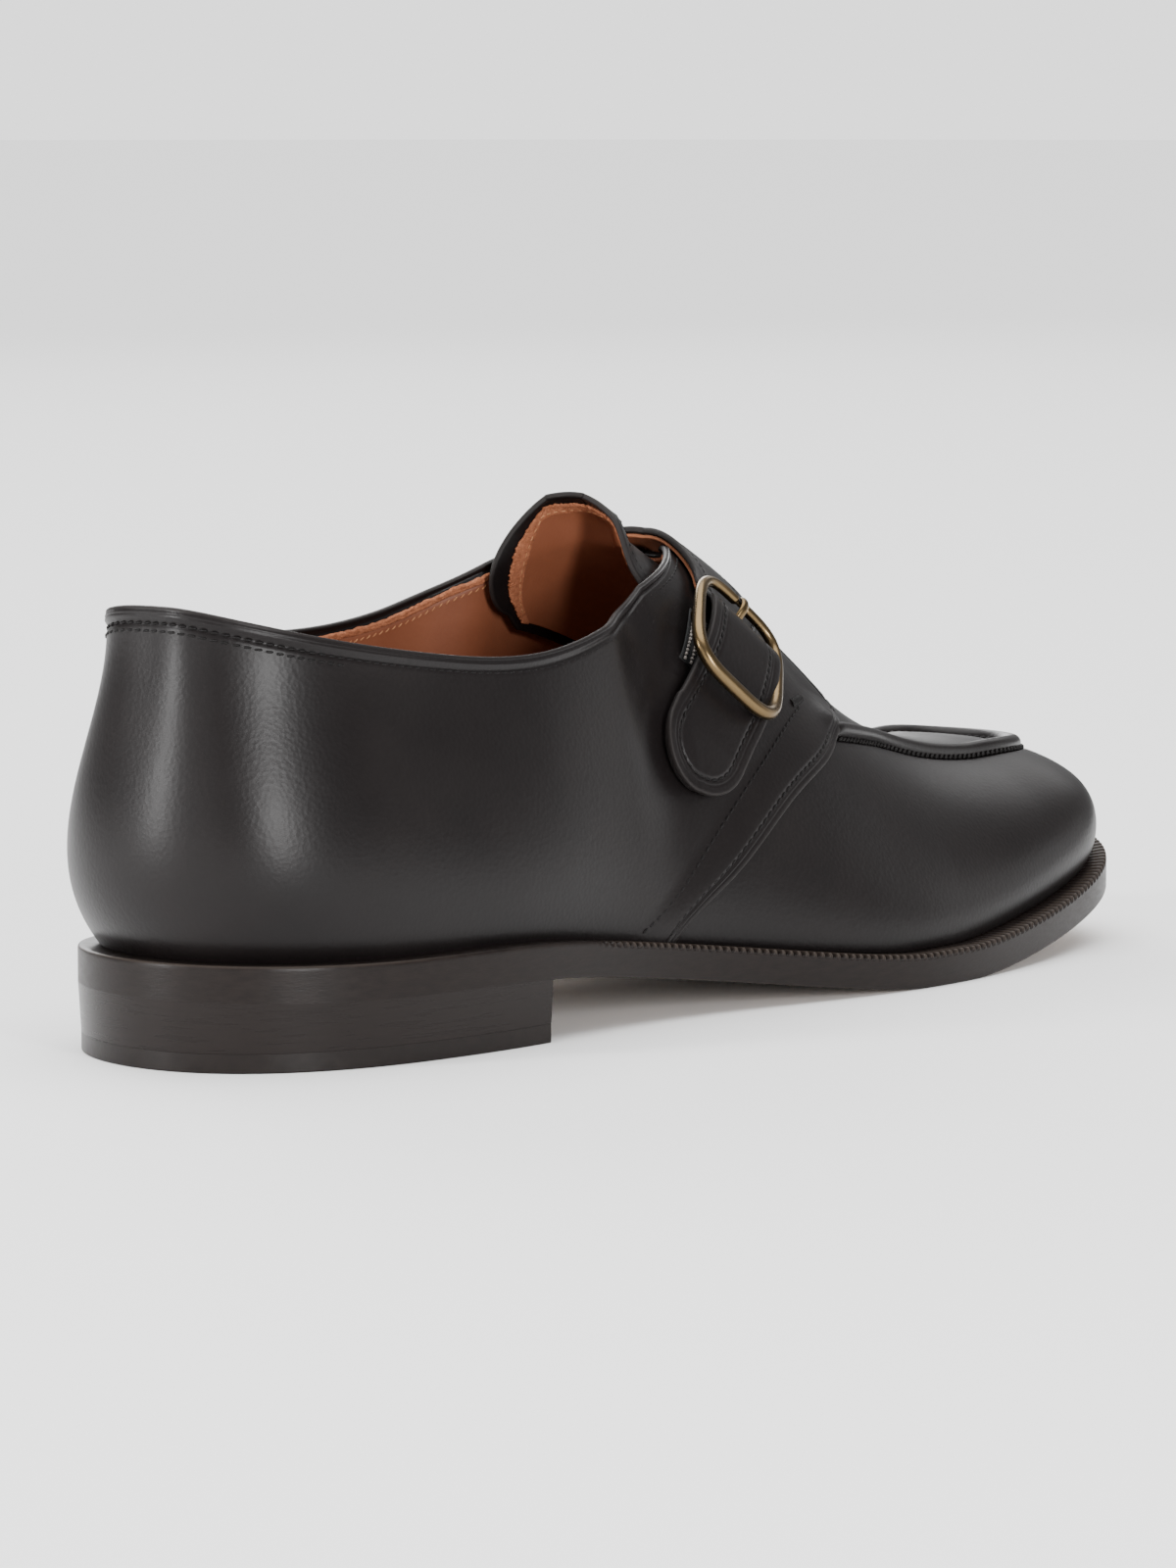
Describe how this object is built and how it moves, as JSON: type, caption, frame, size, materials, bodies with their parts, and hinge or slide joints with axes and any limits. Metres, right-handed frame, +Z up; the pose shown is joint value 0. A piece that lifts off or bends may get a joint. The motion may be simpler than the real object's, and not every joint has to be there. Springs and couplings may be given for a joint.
{
  "type": "monk strap shoe",
  "caption": "Low dress shoe for a right foot with an apron toe, a strap over the instep, a square wire buckle at the outer side, a raised tongue and a low stacked heel.",
  "frame": {"origin": "centre of the bounding box's bottom face, on the floor", "axes": "+X from heel to toe, +Y towards the inner (medial) side, +Z up"},
  "size_m": [0.307, 0.1042, 0.1084],
  "materials": {
    "calf_leather": "smooth waxed calf, satin",
    "sole_leather": "dark inked and burnished edge",
    "lining_leather": "undyed tan lining, matt",
    "heel_rubber": "matt",
    "gore_elastic": "ribbed black elastic",
    "antique_brass": "antique, brushed"
  },
  "bodies": {
    "root": {"outsole": "sole_leather", "welt": "sole_leather", "insole": "lining_leather", "heel_stack": "sole_leather", "top_lift": "heel_rubber", "upper": "calf_leather", "tongue": "calf_leather", "strap": "calf_leather", "gore": "gore_elastic", "buckle_frame": "antique_brass", "buckle_prong": "antique_brass"}
  },
  "joints": []
}
